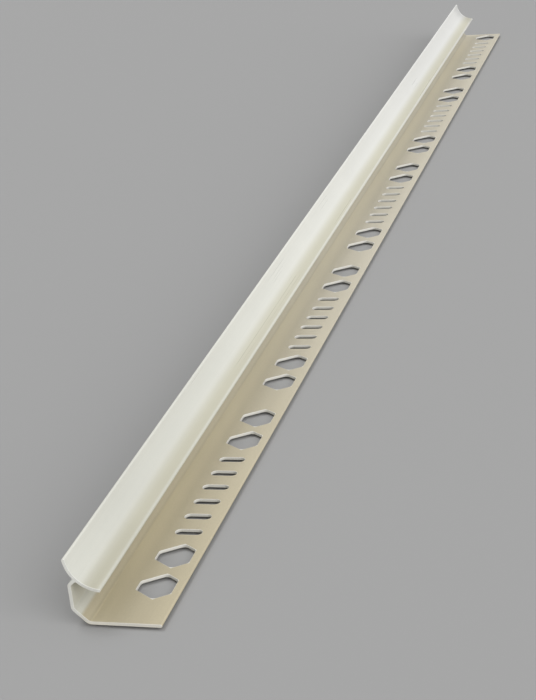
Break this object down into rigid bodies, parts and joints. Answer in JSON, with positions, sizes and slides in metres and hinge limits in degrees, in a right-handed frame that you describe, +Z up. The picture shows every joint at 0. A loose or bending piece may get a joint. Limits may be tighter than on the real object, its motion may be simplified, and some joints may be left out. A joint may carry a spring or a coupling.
{
  "type": "internal corner trim",
  "caption": "Extruded plastic internal corner trim: a concave cove face with a lip over a tile slot, on a web and a punched flange that is bedded in tile adhesive.",
  "frame": {"origin": "bottom centre of the piece, on the underside of the flange", "axes": "+X across the flange to its free edge, +Y along the length, +Z up from the underside of the flange to the cove's tip"},
  "size_m": [0.0224, 0.585, 0.0173],
  "materials": {
    "ivory_pvc": "satin extruded PVC, ivory on the cove and a duller beige on the flange"
  },
  "bodies": {
    "root": {"corner_trim": "ivory_pvc"}
  },
  "joints": []
}
